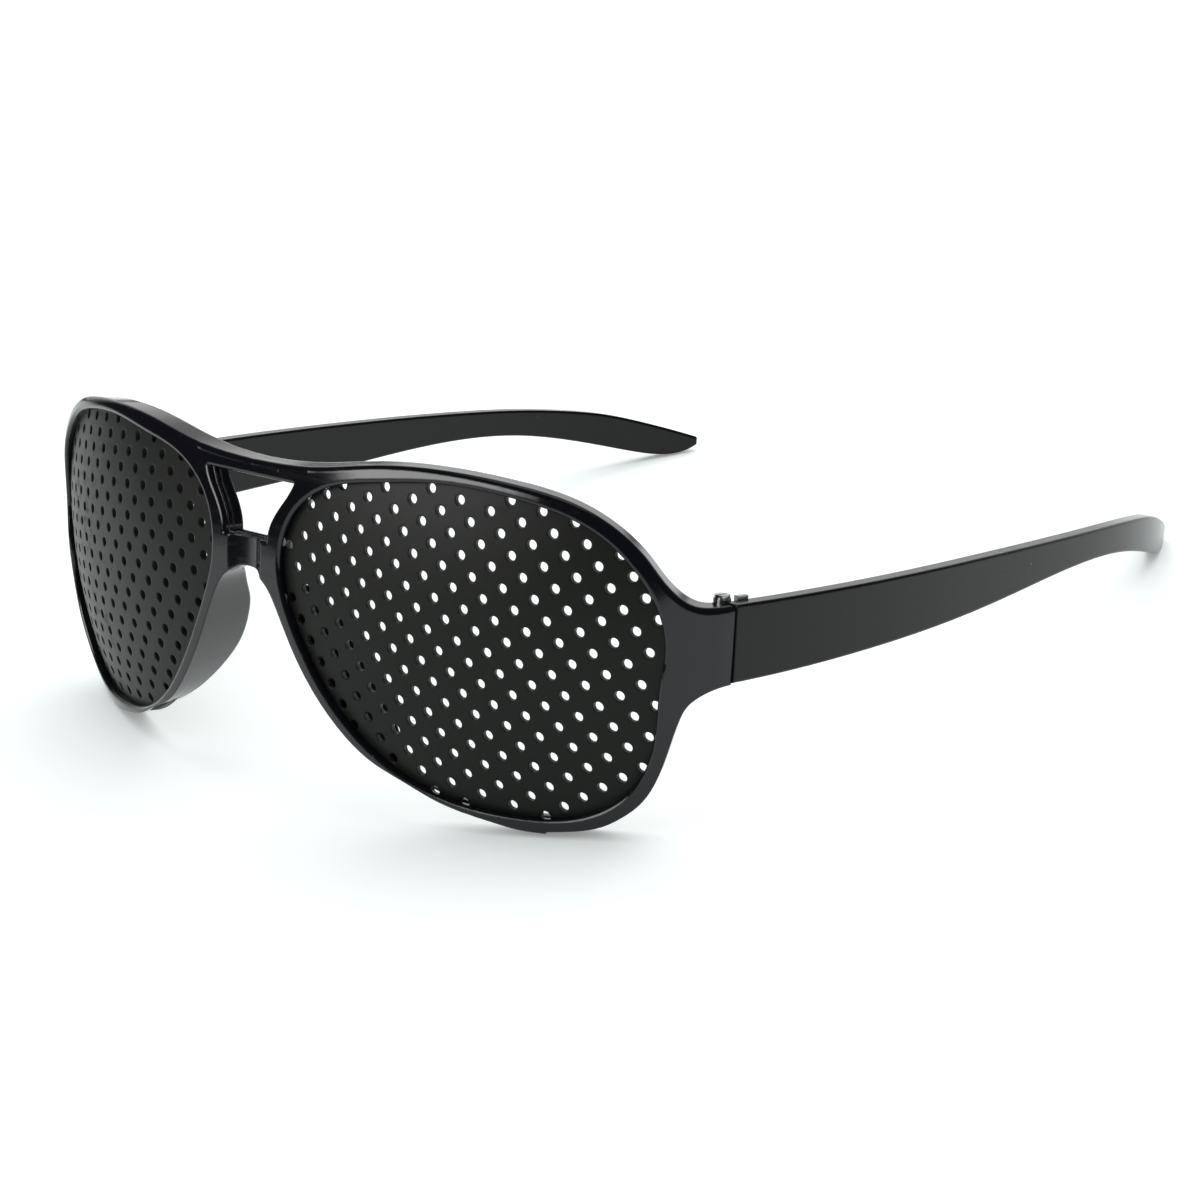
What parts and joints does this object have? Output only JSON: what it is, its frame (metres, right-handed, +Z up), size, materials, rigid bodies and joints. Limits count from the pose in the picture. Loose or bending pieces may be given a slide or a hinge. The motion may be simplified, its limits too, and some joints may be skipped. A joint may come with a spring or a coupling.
{
  "type": "pinhole glasses",
  "caption": "Black plastic aviator-shaped glasses with a brow bar, opaque lenses pierced by a grid of small holes, moulded nose pads and folding temples on metal hinges.",
  "frame": {"origin": "centre of the footprint on the surface that the open glasses stand on, below the middle of the bounding box", "axes": "+X to the wearer's left, +Y from the brow back to the temple tips, +Z up; the glasses lean back 11.3 degrees as they stand on rims and tips"},
  "size_m": [0.1464, 0.1574, 0.0533],
  "materials": {
    "frame_black": "polished injection moulded black plastic",
    "temple_black": "satin black plastic",
    "lens_black": "matt black opaque plastic sheet",
    "hinge_steel": "nickel-plated stamped steel",
    "screw_steel": "bright steel"
  },
  "bodies": {
    "front": {"frame_front": "frame_black", "left_pinhole_lens": "lens_black", "right_pinhole_lens": "lens_black", "left_front_hinge_leaf": "hinge_steel", "right_front_hinge_leaf": "hinge_steel", "left_hinge_screw": "screw_steel", "right_hinge_screw": "screw_steel"},
    "left_temple_arm": {"left_temple": "temple_black", "left_temple_hinge_leaf": "hinge_steel"},
    "right_temple_arm": {"right_temple": "temple_black", "right_temple_hinge_leaf": "hinge_steel"}
  },
  "joints": [
    {"name": "left_temple_fold", "type": "hinge", "parent": "front", "child": "left_temple_arm", "pos_m": [0.06653, -0.04843, 0.02824], "axis": [0, 0.1952, 0.9808], "range_deg": [0, 86]},
    {"name": "right_temple_fold", "type": "hinge", "parent": "front", "child": "right_temple_arm", "pos_m": [-0.06653, -0.04843, 0.02824], "axis": [0, -0.1952, -0.9808], "range_deg": [0, 80]}
  ]
}
